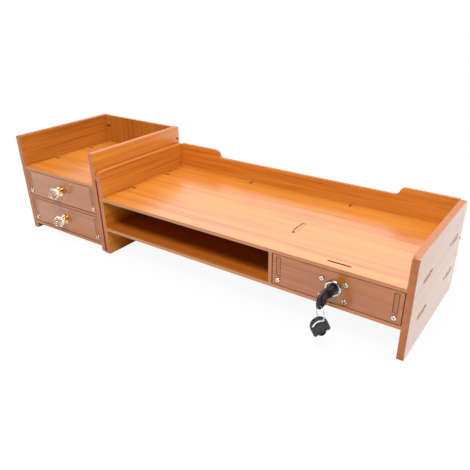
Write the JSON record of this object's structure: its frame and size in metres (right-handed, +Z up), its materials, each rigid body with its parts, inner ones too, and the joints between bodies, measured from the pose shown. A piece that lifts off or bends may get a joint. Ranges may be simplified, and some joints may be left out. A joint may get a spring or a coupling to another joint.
{
  "type": "monitor stand with drawer",
  "caption": "Wood-grain monitor stand with an open bay and a lockable drawer, beside a small cabinet whose drawers have crystal knobs.",
  "frame": {"origin": "middle of the whole set's footprint, in the plane of the table it stands on", "axes": "+X to the right when facing the drawers, +Y towards the back, +Z up"},
  "size_m": [0.69, 0.2492, 0.165],
  "materials": {
    "wood": "cherry wood-grain laminate, satin",
    "floor_wood": "thin laminated fibreboard, satin",
    "screw_steel": "zinc-plated steel",
    "dark_screw": "dark steel",
    "brass": "polished brass",
    "crystal": "clear cut crystal",
    "lock_chrome": "polished chrome",
    "lock_steel": "die-cast zinc, nickel plated",
    "key_plastic": "black moulded plastic",
    "key_steel": "nickel-plated steel"
  },
  "bodies": {
    "frames": {"cabinet_back": "wood", "cabinet_bottom": "wood", "cabinet_deck": "wood", "cabinet_left_side": "wood", "cabinet_right_side": "wood", "cabinet_shelf": "wood", "frame_board_screws": "dark_screw", "frame_nuts": "screw_steel", "frame_side_screws": "dark_screw", "stand_back": "wood", "stand_deck": "wood", "stand_divider": "wood", "stand_left_side": "wood", "stand_right_side": "wood", "stand_shelf": "wood"},
    "stand_drawer": {"stand_drawer_floor": "floor_wood", "stand_drawer_front": "wood", "stand_drawer_front_screws": "screw_steel", "stand_drawer_left_wall": "wood", "stand_drawer_nuts": "screw_steel", "stand_drawer_rear_screws": "dark_screw", "stand_drawer_rear_wall": "wood", "stand_drawer_right_wall": "wood", "lock_case": "lock_steel", "lock_rear_plate": "lock_steel", "lock_ring": "lock_chrome", "lock_screws": "screw_steel", "lock_nuts": "screw_steel"},
    "upper_drawer": {"upper_drawer_floor": "floor_wood", "upper_drawer_front": "wood", "upper_drawer_front_screws": "screw_steel", "upper_drawer_knob_base": "brass", "upper_drawer_knob_crystal": "crystal", "upper_drawer_knob_screw": "screw_steel", "upper_drawer_left_wall": "wood", "upper_drawer_nuts": "screw_steel", "upper_drawer_rear_screws": "dark_screw", "upper_drawer_rear_wall": "wood", "upper_drawer_right_wall": "wood"},
    "lower_drawer": {"lower_drawer_floor": "floor_wood", "lower_drawer_front": "wood", "lower_drawer_front_screws": "screw_steel", "lower_drawer_knob_base": "brass", "lower_drawer_knob_crystal": "crystal", "lower_drawer_knob_screw": "screw_steel", "lower_drawer_left_wall": "wood", "lower_drawer_nuts": "screw_steel", "lower_drawer_rear_screws": "dark_screw", "lower_drawer_rear_wall": "wood", "lower_drawer_right_wall": "wood"},
    "lock_plug": {"lock_plug": "lock_chrome"},
    "lock_bolt": {"lock_bolt": "lock_steel"},
    "key_blade": {"key_blade": "key_steel"},
    "key_head": {"key_head": "key_plastic", "key_pin": "key_steel"},
    "key_ring": {"key_ring": "key_steel"},
    "spare_key_head": {"spare_key_head": "key_plastic", "spare_key_pin": "key_steel"},
    "spare_key_blade": {"spare_key_blade": "key_steel"}
  },
  "joints": [
    {"name": "stand_drawer_slide", "type": "slide", "parent": "frames", "child": "stand_drawer", "axis": [0, -1, 0], "range_m": [0, 0.15]},
    {"name": "upper_drawer_slide", "type": "slide", "parent": "frames", "child": "upper_drawer", "axis": [0, -1, 0], "range_m": [0, 0.15]},
    {"name": "lower_drawer_slide", "type": "slide", "parent": "frames", "child": "lower_drawer", "axis": [0, -1, 0], "range_m": [0, 0.15]},
    {"name": "lock_plug_turn", "type": "hinge", "parent": "stand_drawer", "child": "lock_plug", "pos_m": [0.2486, -0.0749, 0.0681], "axis": [0, 1, 0], "range_deg": [0, 90]},
    {"name": "lock_bolt_slide", "type": "slide", "parent": "stand_drawer", "child": "lock_bolt", "axis": [0, 0, 1], "range_m": [0, 0.00609]},
    {"name": "key_pull", "type": "slide", "parent": "lock_plug", "child": "key_blade", "axis": [0, -1, 0], "range_m": [0, 0.03]},
    {"name": "key_head_fold", "type": "hinge", "parent": "key_blade", "child": "key_head", "pos_m": [0.2486, -0.0964, 0.0681], "axis": [0, 0, 1], "range_deg": [-90, 0]},
    {"name": "key_ring_swing", "type": "hinge", "parent": "key_head", "child": "key_ring", "pos_m": [0.2486, -0.10914, 0.06197], "axis": [-0.8007, 0.5678, -0.1908], "range_deg": [-20, 20]},
    {"name": "spare_key_swing", "type": "hinge", "parent": "key_ring", "child": "spare_key_head", "pos_m": [0.25394, -0.11293, 0.04445], "axis": [0.7064, -0.501, 0.5], "range_deg": [-20, 20]},
    {"name": "spare_key_blade_fold", "type": "hinge", "parent": "spare_key_head", "child": "spare_key_blade", "pos_m": [0.25557, -0.11338, 0.03033], "axis": [0.6028, 0.6859, 0.4077], "range_deg": [-65, 25]}
  ],
  "couplings": [
    {"joint": "lock_bolt_slide", "follows": "lock_plug_turn", "m_per_rad": 0.0038714}
  ]
}
